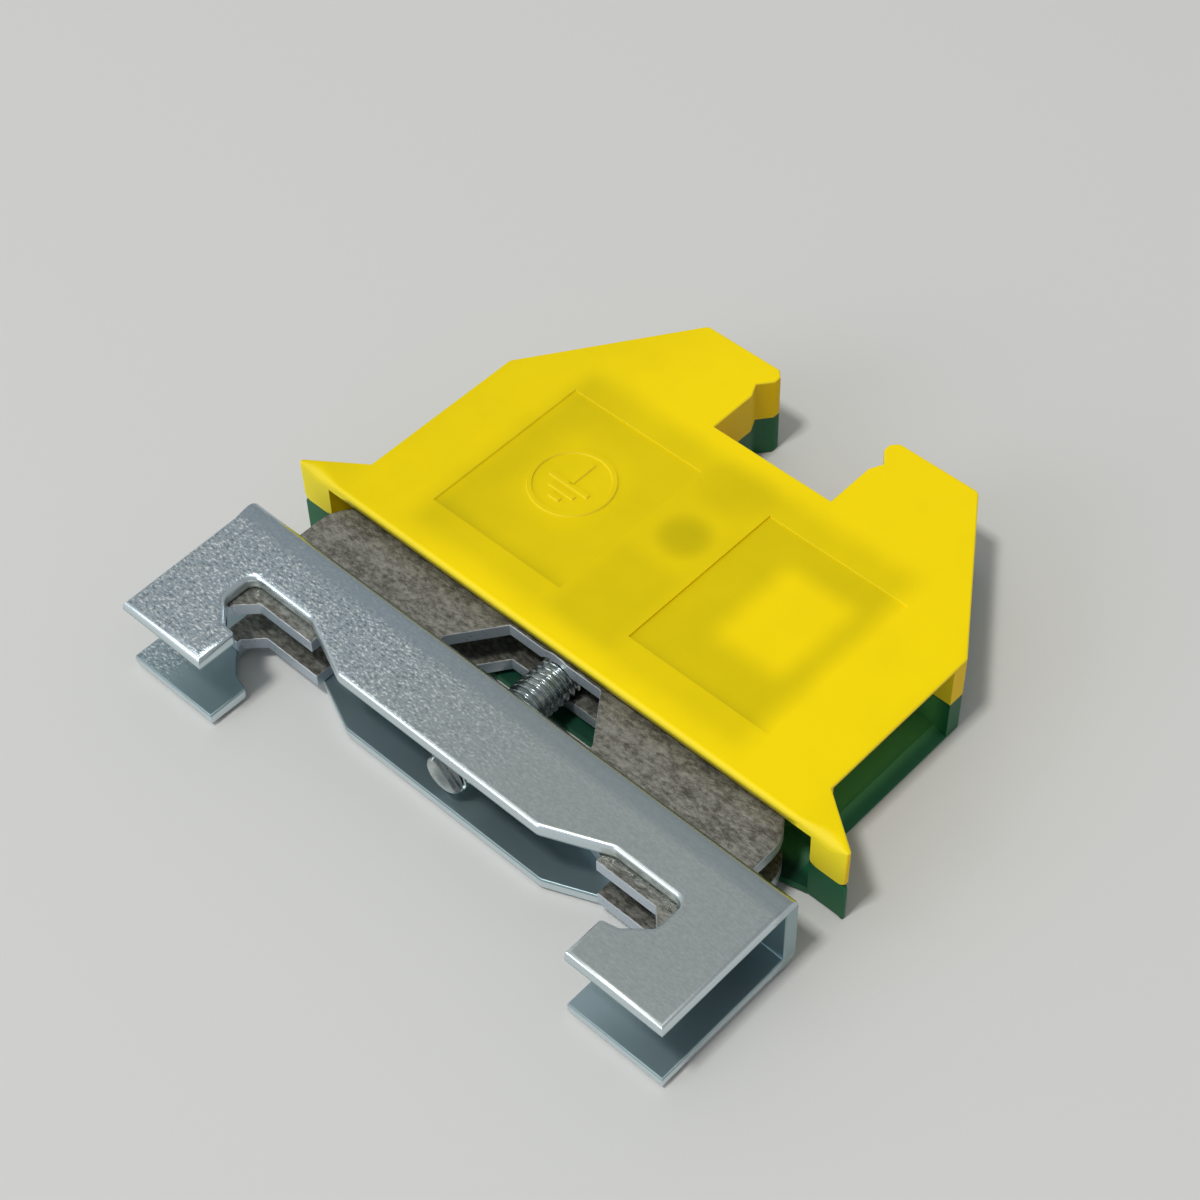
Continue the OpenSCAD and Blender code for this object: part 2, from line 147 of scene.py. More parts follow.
# %% [markdown]
# ## Helpers for every finish
# Each finish starts from the place on the block in millimetres, so that a grain or a blotch can be
# given its real size. Soft masks come from smooth steps. Colours are written as they look on a
# screen and turned into the linear values that a shader works with.

# %% Colours, masks and grain
def srgb(red, green, blue):
    shares = [value / 255 for value in (red, green, blue)]
    linear = [s / 12.92 if s <= 0.04045 else ((s + 0.055) / 1.055) ** 2.4 for s in shares]
    return (*linear, 1)


def mixed(mask, first, second):
    return mask.node("ShaderNodeMix", {"data_type": "RGBA"}, {0: mask, 6: first, 7: second}, out=2)


def step(value, start, end):
    return value.node(
        "ShaderNodeMapRange",
        {"interpolation_type": "SMOOTHSTEP"},
        {"Value": value, "From Min": start, "From Max": end},
    )


def between(value, low, high, soft):
    return step(value, low - soft, low + soft) * step(value, high + soft, high - soft)


def noise(place, scale, detail=2, roughness=0.5):
    sockets = {"Vector": place, "Scale": scale, "Detail": detail, "Roughness": roughness}
    return place.node("ShaderNodeTexNoise", {}, sockets)


def stretched(place, x, y, z):
    return place.node("ShaderNodeVectorMath", {"operation": "MULTIPLY"}, {0: place, 1: (x, y, z)})


def bump(height, depth_mm):
    sockets = {"Height": height, "Distance": depth_mm * MM, "Strength": 1}
    return height.node("ShaderNodeBump", {}, sockets)


print("a mid grey of 128 is", round(srgb(128, 128, 128)[0], 3), "in linear light")

# %% Start a finish and close it with its shader
def start_finish(name):
    material = bpy.data.materials.new(name)
    material.use_nodes = True
    material.node_tree.nodes.clear()
    spot = Wire(material.node_tree).node("ShaderNodeTexCoord", out="Object")
    place = spot.node("ShaderNodeVectorMath", {"operation": "SCALE"}, {0: spot, "Scale": 1 / MM})
    return material, place


def close_finish(material, place, **sockets):
    named = {name.replace("_", " "): value for name, value in sockets.items()}
    shader = place.node("ShaderNodeBsdfPrincipled", {}, named)
    output = material.node_tree.nodes.new("ShaderNodeOutputMaterial")
    material.node_tree.links.new(shader.socket, output.inputs["Surface"])
    print(material.name, "has", len(material.node_tree.nodes), "nodes")


def split(place):
    along = place.node("ShaderNodeSeparateXYZ", {}, {0: place})
    return along, along.also(1), along.also(2)


def facing(place):
    return split(place.node("ShaderNodeNewGeometry", out="Normal"))


def facing_up(place):
    return facing(place)[2]


print("finishes read places in millimetres")

# %% [markdown]
# ## Floor and light
# The block lies on a plain pale floor. One lamp hangs high and a little in front, so the shadows
# are short and fall behind. A cooler one, like a window, stands low in front to the left and
# lights the walls that face the camera. A grey world fills the shadows, darker on the right.
# Together they stay at a plain level, so that a colour renders about as it is written.

# %% Make the floor
FLOOR_HALF = 900 * MM
FLOOR_UNDER = 0.01 * MM
FLOOR_CORNERS = [(-1, -1), (1, -1), (1, 1), (-1, 1)]

floor_mesh = bpy.data.meshes.new("floor")
floor_mesh.from_pydata(
    [(x * FLOOR_HALF, y * FLOOR_HALF, -FLOOR_UNDER) for x, y in FLOOR_CORNERS], [], [(0, 1, 2, 3)]
)
floor = bpy.data.objects.new("floor", floor_mesh)
bpy.context.scene.collection.objects.link(floor)
floor_finish, place = start_finish("pale_floor")
close_finish(floor_finish, place, Base_Color=srgb(200, 200, 197), Roughness=0.8)
floor_mesh.materials.append(floor_finish)

# %% Hang the lamps
def soft_lamp(name, direction, distance_mm, size_mm, power, colour):
    data = bpy.data.lights.new(name, "AREA")
    data.size = size_mm * MM
    data.energy = power
    data.color = colour
    lamp = bpy.data.objects.new(name, data)
    toward = Vector(direction).normalized()
    lamp.location = toward * distance_mm * MM
    lamp.rotation_mode = "QUATERNION"
    lamp.rotation_quaternion = toward.to_track_quat("Z", "Y")
    bpy.context.scene.collection.objects.link(lamp)
    print(name, "is", size_mm, "mm wide and", distance_mm, "mm away")


soft_lamp(
    "ceiling_lamp",
    direction=(-0.03, -0.365, 0.93),
    distance_mm=1200,
    size_mm=150,
    power=7.6,
    colour=(1, 0.99, 0.97),
)
soft_lamp(
    "window_lamp",
    direction=(-0.3, -0.85, 0.35),
    distance_mm=900,
    size_mm=500,
    power=2.4,
    colour=(0.9, 0.96, 1),
)

# %% Fill the shadows with a grey room
ROOM_LEFT, ROOM_RIGHT = srgb(196, 198, 200), srgb(160, 161, 162)

world = bpy.data.worlds.new("grey_room")
bpy.context.scene.world = world
world.use_nodes = True
world.node_tree.nodes.clear()
direction = Wire(world.node_tree).node("ShaderNodeTexCoord", out="Generated")
to_right, _, _ = split(direction)
room_colour = mixed(step(to_right, -1, 1), ROOM_LEFT, ROOM_RIGHT)
room = direction.node("ShaderNodeBackground", {}, {"Color": room_colour})
world_output = world.node_tree.nodes.new("ShaderNodeOutputWorld")
world.node_tree.links.new(room.socket, world_output.inputs["Surface"])
bpy.context.scene.view_settings.view_transform = "Standard"
print("the room has", len(world.node_tree.nodes), "nodes")

# %% [markdown]
# ## The yellow plastic
# The halves are moulded in polyamide. It lets some light through: where the wall is solid it glows
# a full yellow, and where a thin skin covers the dark chamber it looks olive. Real scattering
# would show this too, but it is slow and is lost when the model is exported, so this light and
# shade is painted into the colour by soft masks where the skin is thin. They follow the chamber,
# the sunk panels, where the skin is thinner still, and the screw heads and the stem behind it,
# which all get painted shade, and the yokes, which get a painted glow. A painted shade also
# darkens each panel along the inside of its lower edge. An area is given as left, right, low and
# high, and a disc as its middle and radius, all in millimetres. Heights are measured from the toes
# of the foot.

# %% Where the yellow skin gets painted shade and glow
TOE_Y = cad_box[0].y / MM
CHAMBER, CHAMBER_SOFT = (-14.3, 13.4, 16.8, 34.3), 1.2
PANEL_X, PANEL_Y, PANEL_SOFT = (2.9, 14.1), (18.9, 32.2), 0.05
RIGHT_YOKE, RIGHT_SOFT = (6.5, 12, 22.6, 29.8), 1.1
LEFT_YOKE, LEFT_SOFT = (-11.6, -5.6, 22.6, 29.6), 1.2
SCREW_HEAD, DRIVER_HOLE = (0, 27.3, 1.15), (0, 32.8, 1.7)
STEM, STEM_SOFT = (-2.6, 2.6, 17, 24.4), 0.8
SKIN_OLIVE, PANEL_OLIVE, RIGHT_PANEL_OLIVE = 0.42, 0.06, 0.12
EDGE_SHADE_WIDTH, LEFT_EDGE_SHADE, EDGE_SHADE_DROP = 1.3, 0.18, 0.09
RIGHT_GLOW, LEFT_GLOW = 0.55, 0.16
HEAD_OLIVE, HOLE_SHARE, STEM_OLIVE = 0.46, 0.45, 0.16


def patch(along, above, area, soft):
    left, right, low, high = area
    return between(along, left, right, soft) * between(above, low, high, soft)


def disc(along, above, x, y, radius):
    across, up = along - x, above - y
    return step(across * across + up * up, (radius * 2) ** 2, 0)


# Painted shade of the thin skin, with a painted glow taken off over the yokes.
def painted_skin_shade(along, above):
    right_side = step(along, -1, 1)
    from_stem = along.maths("ABSOLUTE", along)
    recess = between(from_stem, *PANEL_X, PANEL_SOFT) * between(above, *PANEL_Y, PANEL_SOFT)
    # Painted shade along the inside of each panel's lower edge.
    shade_under_edge = step(above, PANEL_Y[0] + EDGE_SHADE_WIDTH, PANEL_Y[0])
    shade_under_edge = shade_under_edge * (LEFT_EDGE_SHADE - EDGE_SHADE_DROP * right_side)
    olive = SKIN_OLIVE + recess * (PANEL_OLIVE + RIGHT_PANEL_OLIVE * right_side + shade_under_edge)
    olive = olive - RIGHT_GLOW * patch(along, above, RIGHT_YOKE, RIGHT_SOFT)
    olive = olive - LEFT_GLOW * patch(along, above, LEFT_YOKE, LEFT_SOFT)
    heads = disc(along, above, *SCREW_HEAD) + HOLE_SHARE * disc(along, above, *DRIVER_HOLE)
    olive = olive + HEAD_OLIVE * heads + STEM_OLIVE * patch(along, above, STEM, STEM_SOFT)
    return patch(along, above, CHAMBER, CHAMBER_SOFT) * olive


print("the thin skin is", round(CHAMBER[1] - CHAMBER[0], 1), "mm wide")

# %% [markdown]
# A rounded edge catches more light than a flat, so it gets a pale painted highlight. Each wall gets
# a painted glow for the light that went in through the top: greenish on the left, where the light
# is cool, and warm on the right. The far left and the wings lie further from the lamp, so they get
# a little painted shade.

# %% Yellow finish
FULL_YELLOW, SKIN_SHADE_YELLOW, HIGHLIGHT_YELLOW = srgb(239, 210, 0), srgb(184, 167, 0), srgb(246, 228, 84)
COOL_GLOW, WARM_GLOW = srgb(246, 230, 60), srgb(255, 202, 0)
LEFT_SHADE_FADE, LEFT_SHADE_SHARE = (-7, -17), 0.26
WING_SHADE_FADE, WING_SHADE_SHARE = (18**2, 20.5**2), 0.16
CLOUD_SHARE, HIGHLIGHT_SHARE, GLOW_SHARE = 0.25, 0.35, 0.6
GRAIN_MM = 0.006


def tool_grain(place):
    return noise(place, scale=14, detail=3, roughness=0.6)


yellow_finish, place = start_finish("moulded_yellow")
along, from_middle, _ = split(place)
above = from_middle - TOE_Y
cloud = noise(place, scale=0.35, detail=3)
# Painted shade on the far left and on the wings.
far_shade = step(along, *LEFT_SHADE_FADE) * LEFT_SHADE_SHARE
far_shade = far_shade + step(along * along, *WING_SHADE_FADE) * WING_SHADE_SHARE
olive = painted_skin_shade(along, above) + far_shade + (cloud - 0.5) * CLOUD_SHARE
to_right, _, to_top = facing(place)
# Pale painted highlight on the rounded edges.
edge = between(to_top, 0.3, 0.86, 0.12)
wall = step(to_top, 0.4, 0.1)
# Painted glow on the walls, cool on the left and warm on the right.
glow = mixed(step(to_right, 0.1, 0.6), COOL_GLOW, WARM_GLOW)
colour = mixed(olive, FULL_YELLOW, SKIN_SHADE_YELLOW)
colour = mixed(edge * HIGHLIGHT_SHARE, colour, HIGHLIGHT_YELLOW)
grain = tool_grain(place)
close_finish(
    yellow_finish,
    place,
    Base_Color=mixed(wall * GLOW_SHARE, colour, glow),
    Roughness=0.42 + (grain - 0.5) * 0.2,
    Specular_IOR_Level=0.1,
    Normal=bump(grain, GRAIN_MM),
)

# %% [markdown]
# ## The green plastic
# The other half is the same moulding in green. Inside the chamber it is lit through the thin
# yellow skin, so there it gets a paler painted light. The upward faces of the sill below the mouth
# lie in shade and get a darker painted shade, and the walls outside keep the plain green. A soft
# mask along the lower edge of the chamber parts the lit tone from the rest, and the fine grain of
# the tool covers all of them.

# %% Green finish
CHAMBER_X, CHAMBER_Y, CHAMBER_Z = (-18.6, 18.6, 0.7), (16.2, 31, 0.5), (0.5, 3.3, 0.2)
SILL_FADE = (16.6, 15.8)
DARK_GREEN, MID_GREEN = srgb(18, 84, 52), srgb(26, 100, 62)
LIT_GREEN, SHADED_SILL_GREEN = srgb(78, 148, 86), srgb(12, 58, 41)

green_finish, place = start_finish("moulded_green")
along, from_middle, height = split(place)
above = from_middle - TOE_Y
# Paler painted light inside the chamber.
chamber = between(above, *CHAMBER_Y) * between(height, *CHAMBER_Z) * between(along, *CHAMBER_X)
# Darker painted shade on the upward faces of the sill.
sill_shade = step(facing_up(place), 0.6, 0.9) * step(above, *SILL_FADE)
outside = mixed(noise(place, scale=0.3), DARK_GREEN, MID_GREEN)
grain = tool_grain(place)
close_finish(
    green_finish,
    place,
    Base_Color=mixed(sill_shade, mixed(chamber, outside, LIT_GREEN), SHADED_SILL_GREEN),
    Roughness=0.45 + (grain - 0.5) * 0.2,
    Specular_IOR_Level=0.25,
    Normal=bump(grain, GRAIN_MM),
)

# %% [markdown]
# ## The zinc of the foot
# The foot is bright zinc on steel. Zinc grows in small crystals, so the flat outside sparkles in
# flecks that follow the rolling of the sheet. The tumbled left end shows them strongly, also on
# the inside of the toe, and the right end hardly: there fine streaks remain. Where the sheet was
# stretched round the fold, it is smooth and bluish, and the rest of the inside is dull.

# %% Flecks of the foot
FOOT_INSIDE = (0.95, 5.85, 0.05)
FOLD_BAND = (9.3, 10.1)
FLECK_FADE, FLECK_LEAST, FOLD_SMOOTH = (9, -10), 0.08, 0.85
TOE_INSIDE_X, TOE_INSIDE_Y = (-18.8, -20.8), (6, 2.5)
BRIGHT_FLECK, DARK_FLECK = (0.55, 0.66), (0.47, 0.34)
ROLLING, FLECK_SCALE = (0.55, 1, 1), 6.2

foot_finish, place = start_finish("bright_zinc")
along, from_middle, height = split(place)
above = from_middle - TOE_Y
inside = between(height, *FOOT_INSIDE)
level = step(facing_up(place), 0.74, 0.95)
flat = level * (1 - inside)
fold = step(above, *FOLD_BAND) * (1 - inside)
crystals = step(along, *FLECK_FADE) * (1 - FLECK_LEAST) + FLECK_LEAST
crystals = crystals * flat * (1 - FOLD_SMOOTH * fold)
left_toe = step(along, *TOE_INSIDE_X) * step(above, *TOE_INSIDE_Y)
crystals = crystals + left_toe * level * inside
flecks = noise(stretched(place, *ROLLING), FLECK_SCALE, roughness=0.7)
bright_fleck = step(flecks, *BRIGHT_FLECK) * crystals
dark_fleck = step(flecks, *DARK_FLECK) * crystals
print("flecks are about", round(1 / FLECK_SCALE, 2), "mm across")

# %% Foot finish
RIGHT_ZINC, LEFT_ZINC = srgb(168, 177, 175), srgb(166, 180, 188)
STREAK_ZINC, EDGE_HIGHLIGHT_ZINC = srgb(186, 195, 192), srgb(212, 224, 229)
FOLD_ZINC, INSIDE_ZINC = srgb(138, 154, 165), srgb(158, 178, 183)
DARK_ZINC, BRIGHT_ZINC = srgb(102, 112, 122), srgb(246, 249, 248)
STREAK_SHARE, FOLD_SHARE, DARK_SHARE = 0.5, 0.4, 0.7
LEFT_FADE, FADE_WAVE = (9, -9), 6

streaks = noise(stretched(place, 0.4, 1, 1), scale=7, detail=3, roughness=0.75)
wavy = along + noise(place, scale=0.25) * FADE_WAVE
plain = mixed(step(wavy, *LEFT_FADE), RIGHT_ZINC, LEFT_ZINC)
plain = mixed(step(streaks, 0.38, 0.62) * STREAK_SHARE, plain, STREAK_ZINC)
# Paler painted highlight on every outer face that does not look up: rolled edges and cut faces.
colour = mixed(flat, EDGE_HIGHLIGHT_ZINC, plain)
colour = mixed(fold * FOLD_SHARE, colour, FOLD_ZINC)
colour = mixed(inside, colour, INSIDE_ZINC)
colour = mixed(dark_fleck * DARK_SHARE, colour, DARK_ZINC)
close_finish(
    foot_finish,
    place,
    Base_Color=mixed(bright_fleck, colour, BRIGHT_ZINC),
    Metallic=1.0,
    Roughness=0.28 + 0.14 * flat - 0.06 * fold - 0.1 * bright_fleck + 0.12 * inside,
    Normal=bump(flecks * crystals, 0.045),
)

# %% [markdown]
# ## The dull plates
# The contact plates are stamped from strip. Their faces are dull and scaly from tumbling, in
# patches of a few tenths of a millimetre, while the cut edges are bare and bright. The direction
# in which a face looks tells the two apart: a face looks up or down, an edge looks sideways.

# %% Plate finish
DARK_SCALE, PALE_SCALE, CUT_EDGE = srgb(94, 92, 84), srgb(164, 163, 155), srgb(172, 182, 190)

plate_finish, place = start_finish("dull_plate")
top = step(facing_up(place), 0.6, 0.9)
scales = noise(stretched(place, 0.5, 1, 1), scale=4.2, detail=4, roughness=0.7)
patches = noise(place, scale=0.8)
tone = step(scales * 0.75 + patches * 0.25, 0.34, 0.68)
close_finish(
    plate_finish,
    place,
    Base_Color=mixed(top, CUT_EDGE, mixed(tone, DARK_SCALE, PALE_SCALE)),
    Metallic=0.5 + 0.45 * top,
    Roughness=0.3 + 0.2 * top + (scales - 0.5) * 0.2,
    Normal=bump(scales * (0.1 + 0.9 * top), 0.03),
)

# %% [markdown]
# ## The other metals
# Screws and yokes are smooth zinc and the bar is tinned brass. They start from one recipe, a metal
# whose colour, roughness and bump vary at two scales, and differ in their numbers only. The staked
# tip of the rail screw gets a painted shade: a darker colour in the mark.

# %% Finishes of screws, yokes and bar
TIP_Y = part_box("rail_screw")[0].y / MM
TIP_SHADE_COLOUR, TIP_SHADE_SHARE = srgb(58, 70, 76), 0.75


# Painted shade in the staked mark.
def painted_tip_shade(place):
    _, from_middle, _ = split(place)
    sunk = from_middle - TIP_Y
    return step(sunk, 0.04, 0.22) * step(sunk, 0.6, 0.45) * TIP_SHADE_SHARE


def metal_finish(name, dark, light, blotch, crystal, depth, rough, spread, shade_mask=None):
    material, place = start_finish(name)
    clouds = noise(place, blotch, detail=4, roughness=0.6)
    crystals = noise(place, crystal, roughness=0.6)
    tone = step(clouds * 0.6 + crystals * 0.4, 0.36, 0.64)
    colour = mixed(tone, dark, light)
    # Painted shade where a mask is given.
    if shade_mask:
        colour = mixed(shade_mask(place), colour, TIP_SHADE_COLOUR)
    close_finish(
        material,
        place,
        Base_Color=colour,
        Metallic=1.0,
        Roughness=rough + (crystals - 0.5) * spread,
        Normal=bump(crystals, depth),
    )
    return material


screw_finish = metal_finish(
    "screw_zinc",
    dark=srgb(160, 170, 172),
    light=srgb(206, 212, 210),
    blotch=0.8,
    crystal=8,
    depth=0.002,
    rough=0.22,
    spread=0.1,
    shade_mask=painted_tip_shade,
)
yoke_finish = metal_finish(
    "yoke_zinc",
    dark=srgb(150, 156, 160),
    light=srgb(190, 196, 200),
    blotch=0.6,
    crystal=7,
    depth=0.008,
    rough=0.34,
    spread=0.25,
)
bar_finish = metal_finish(
    "tinned_brass",
    dark=srgb(176, 160, 118),
    light=srgb(206, 194, 158),
    blotch=0.7,
    crystal=6,
    depth=0.006,
    rough=0.34,
    spread=0.2,
)

# %% [markdown]
# ## From solid to piece
# A imported solid has knife-sharp edges made of triangles. The frame's own meshes stay as they are,
# so each piece starts as a welded copy whose flat faces are joined again. Edges are then eased by
# real geometry, because a soft edge catches the light and survives in every export.

# %% Copy a solid, cut it, and make a piece of it
FLAT_ANGLE = math.radians(1)
SMOOTH_ANGLE = math.radians(27)
WELD = 0.002 * MM


def copy_of(node):
    solid = bmesh.new()
    solid.from_mesh(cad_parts[node].data)
    bmesh.ops.remove_doubles(solid, verts=solid.verts, dist=WELD)
    bmesh.ops.dissolve_limit(
        solid, angle_limit=FLAT_ANGLE, verts=solid.verts, edges=solid.edges
    )
    return solid


def cut_at(solid, place, normal, clear_inner=False):
    bmesh.ops.bisect_plane(
        solid,
        geom=[*solid.verts, *solid.edges, *solid.faces],
        dist=WELD,
        plane_co=place,
        plane_no=normal,
        clear_inner=clear_inner,
    )


def hand_in(solid, name, material, body, node=None):
    bmesh.ops.recalc_face_normals(solid, faces=solid.faces)
    mesh = bpy.data.meshes.new(name)
    solid.to_mesh(mesh)
    solid.free()
    mesh.materials.append(material)
    mesh.shade_smooth()
    mesh.set_sharp_from_angle(angle=SMOOTH_ANGLE)
    piece = bpy.data.objects.new(name, mesh)
    bpy.context.scene.collection.objects.link(piece)
    weighted = piece.modifiers.new("flat_faces_stay_flat", "WEIGHTED_NORMAL")
    weighted.keep_sharp = True
    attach(piece, body)
    if node:
        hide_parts(node)
    print(name, "has", len(mesh.polygons), "faces")


# %% [markdown]
# ## The two halves of the housing
# The outer edge of each half is rounded, but only a little at the thin tips of the wings. A Bevel
# modifier keeps one width all along, and where the width would have to change it tears. So the
# edge is rounded by hand: the rim of the flat face is moved in along the walls' normals, ring by
# ring, with a radius of its own at each corner.

# %% Find the rim of a flat face
FLAT, UPRIGHT = 0.99, 0.01
WALL_MIN = 0.3 * MM


def rim_edges(solid, level, face_up):
    def is_cap(face):
        flat = face.normal.z * face_up > FLAT
        return flat and all(abs(v.co.z - level) < WELD for v in face.verts)

    def is_wall(face):
        depth = max(abs(v.co.z - level) for v in face.verts)
        return abs(face.normal.z) < UPRIGHT and depth > WALL_MIN

    found = []
    for edge in solid.edges:
        if len(edge.link_faces) == 2:
            first, second = edge.link_faces
            if is_cap(first) and is_wall(second) or is_cap(second) and is_wall(first):
                found.append((edge, second if is_cap(first) else first))
    return found


# %% Round the rim of a flat face
RIM_RINGS = 5


def round_rim(solid, level, face_up, radius_at):
    walls = {}
    rim = rim_edges(solid, level, face_up)
    for edge, wall in rim:
        for vert in edge.verts:
            walls.setdefault(vert, []).append(wall.normal.copy())
    rings = {}
    for vert, normals in walls.items():
        inward = -(normals[0] + normals[-1]) / (1 + normals[0].dot(normals[-1]))
        radius = radius_at(vert.co)
        rings[vert] = []
        for k in range(RIM_RINGS + 1):
            angle = math.pi / 2 * k / RIM_RINGS
            shift = inward * radius * (1 - math.cos(angle))
            drop = Vector((0, 0, face_up * radius * (1 - math.sin(angle))))
            rings[vert].append(solid.verts.new(vert.co + shift - drop))
    old_faces = {face for vert in rings for face in vert.link_faces}
    for face in old_faces:
        row = -1 if abs(face.normal.z) > FLAT else 0
        solid.faces.new([rings[v][row] if v in rings else v for v in face.verts])
    for edge, _ in rim:
        a, b = (rings[vert] for vert in edge.verts)
        for k in range(RIM_RINGS):
            solid.faces.new([a[k], b[k], b[k + 1], a[k + 1]])
    bmesh.ops.delete(solid, geom=list(rings), context="VERTS")
    return len(rim)


# %% Choose the radius of the rim
BODY_HALF = 19.35 * MM
TIP_HALF = cad_box[1].x
BASE_EDGE = 15.55 * MM
BASE_RADIUS, EDGE_RADIUS, WING_RADIUS = 0.32 * MM, 0.13 * MM, 1.1 * MM
WING_GROWTH = 1.3
WING_ROOT, WING_TIP, WING_SHARE = 3 * MM, 0.05 * MM, 0.88


def rim_radius(place):
    if place.y - cad_box[0].y > BASE_EDGE:
        return EDGE_RADIUS
    reach = max(0, abs(place.x) - BODY_HALF) / (TIP_HALF - BODY_HALF)
    wanted = BASE_RADIUS + (WING_RADIUS - BASE_RADIUS) * reach * WING_GROWTH
    wedge = WING_ROOT * (1 - reach) + WING_TIP
    return min(wanted, max(EDGE_RADIUS, wedge * WING_SHARE))


def low_rim_radius(place):
    return min(BASE_RADIUS, rim_radius(place))


halfway = Vector(((BODY_HALF + TIP_HALF) / 2, cad_box[0].y, 0))
print("halfway out, a wing is rounded by", round(rim_radius(halfway) / MM, 2), "mm")

# %% [markdown]
# The mouths get what a mould maker adds last. Each side mouth opens like a funnel, so that a
# stranded wire finds its way: its skin thins out to a sharp lip. The ends of the long mouth stand
# upright, and the green sill reaches under the foot and runs out into the wings. These are moves
# of a few corners of the welded copy, which is simpler than cutting the shapes again.

# %% Shape the mouths
SKIN, LIP, FUNNEL = 0.8 * MM, 0.2 * MM, 0.95 * MM
ENTRY = (18.5 * MM, 30.4 * MM)
MOUTH_END = (15.5 * MM, 18.3 * MM)
MOUTH_IN, MOUTH_OUT = (16 * MM, 18 * MM), 19.15 * MM
SILL = (14.9 * MM, 15.2 * MM)
SILL_REACH, SILL_BACK = 0.42 * MM, 0.32 * MM
SILL_FULL, INNER_HALF = 17.4 * MM, 20.35 * MM


def unit(value):
    return min(1, max(0, value))


def where(vert):
    return vert.co.y - cad_box[0].y, abs(vert.co.x)


def straighten_ends(solid):
    for vert in solid.verts:
        above, out = where(vert)
        if MOUTH_END[0] < above < MOUTH_END[1] and MOUTH_IN[0] < out < MOUTH_IN[1]:
            vert.co.x = math.copysign(MOUTH_OUT, vert.co.x)


def thin_lips(solid, outer, face_up):
    for vert in solid.verts:
        above, out = where(vert)
        on_roof = abs(vert.co.z - outer + face_up * SKIN) < WELD
        if on_roof and abs(out - BODY_HALF) < WELD and ENTRY[0] < above < ENTRY[1]:
            vert.co.z = outer - face_up * LIP


def extend_sill(solid):
    for vert in solid.verts:
        above, out = where(vert)
        if SILL[0] < above < SILL[1]:
            fade = unit((out - SILL_FULL) / (INNER_HALF - SILL_FULL))
            vert.co.y -= SILL_REACH * (1 - fade) - SILL_BACK * fade


print("the sill reaches", round(SILL_REACH / MM, 2), "mm further under the foot")

# %% [markdown]
# The tips of the wings are rounded where the halves meet, and so is the inner lower edge of the
# yellow wings. A wing is cut into thin slices beside the parting plane, and each slice is pulled
# in a little less than the one before it, so that the slices follow a curve. Each pair of numbers
# is a distance from that plane and a pull, in millimetres.

# %% Round the wings at the parting plane
BASE = 15.4 * MM
INNER_SLANT, WALL_PLAY = 0.48, 0.06 * MM
TIP_FROM = 21.6 * MM
TIP_PULL = ((0, 0.4), (0.08, 0.22), (0.2, 0.09), (0.36, 0.02))


def pull_share(vert, face_up):
    above, out = where(vert)
    if out > TIP_FROM:
        return -(out - TIP_FROM) / (TIP_HALF - TIP_FROM)
    inner_wall = INNER_HALF - (above - BASE) * INNER_SLANT + WALL_PLAY
    if face_up > 0 and MOUTH_OUT - WELD < out < inner_wall and above < MOUTH_END[1]:
        return (MOUTH_END[1] - above) / (MOUTH_END[1] - BASE)
    return 0


def round_at_parting(solid, parting, face_up):
    for vert in solid.verts:
        share = pull_share(vert, face_up)
        for up, pull in TIP_PULL:
            if abs(abs(vert.co.z - parting) - up * MM) < WELD:
                vert.co.x += math.copysign(pull * MM, vert.co.x) * share


print("the tips are pulled in by up to", TIP_PULL[0][1], "mm")

# %% Make the two halves
WING_CUTS = [value * MM for value in (19.35, 20.35, 21, 21.6, 22.1, 22.5, 22.8)]


def half_of(node, finish, face_up):
    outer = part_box("yellow_half")[1].z if face_up > 0 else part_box("green_half")[0].z
    parting = sum(corner.z for corner in cad_box) / 2
    solid = copy_of(node)
    straighten_ends(solid)
    for side in (-1, 1):
        for cut in (*WING_CUTS, BODY_HALF - FUNNEL, SILL_FULL):
            cut_at(solid, (side * cut, 0, 0), (1, 0, 0))
    for up, _ in TIP_PULL[1:]:
        cut_at(solid, (0, 0, parting + face_up * up * MM), (0, 0, 1))
    round_at_parting(solid, parting, face_up)
    thin_lips(solid, outer, face_up)
    extend_sill(solid)
    count = round_rim(solid, outer, face_up, rim_radius if face_up > 0 else low_rim_radius)
    print(node, "rounded along", count, "edges")
    hand_in(solid, node + "_moulding", finish, "housing", node)


half_of("yellow_half", yellow_finish, 1)
half_of("green_half", green_finish, -1)

# %% [markdown]
# ## The sign on the panel
# Earth terminals carry the standard sign for protective earth: a stem on three bars in a ring. It
# is moulded with the half, a tenth of a millimetre high, on the floor of the left panel. A texture
# could draw it, but a raised sign catches light along its edges, so it is built with sloping
# sides.

# %% Bars and ring of the sign
SIGN_X, SIGN_Y = -8.5, 4.6
SIGN_R, SIGN_LINE = 3.0, 0.42
SIGN_TOP = cad_box[1].z / MM - 0.015
SIGN_BASE, SIGN_SLOPE = SIGN_TOP - 0.145, 0.06
SIGN_SIDES = 72


def sign_point(solid, x, y, z):
    return solid.verts.new(Vector((SIGN_X + x, SIGN_Y + y, z)) * MM)


def sign_bar(solid, y, width, height):
    rows = []
    for z, inset in ((SIGN_BASE, 0), (SIGN_TOP, SIGN_SLOPE)):
        w, h = width / 2 - inset, height / 2 - inset
        corners = [(-w, -h), (w, -h), (w, h), (-w, h)]
        rows.append([sign_point(solid, i, y + j, z) for i, j in corners])
    for i in range(4):
        j = (i + 1) % 4
        solid.faces.new([rows[0][i], rows[0][j], rows[1][j], rows[1][i]])
    solid.faces.new(rows[1])
    solid.faces.new(rows[0][::-1])


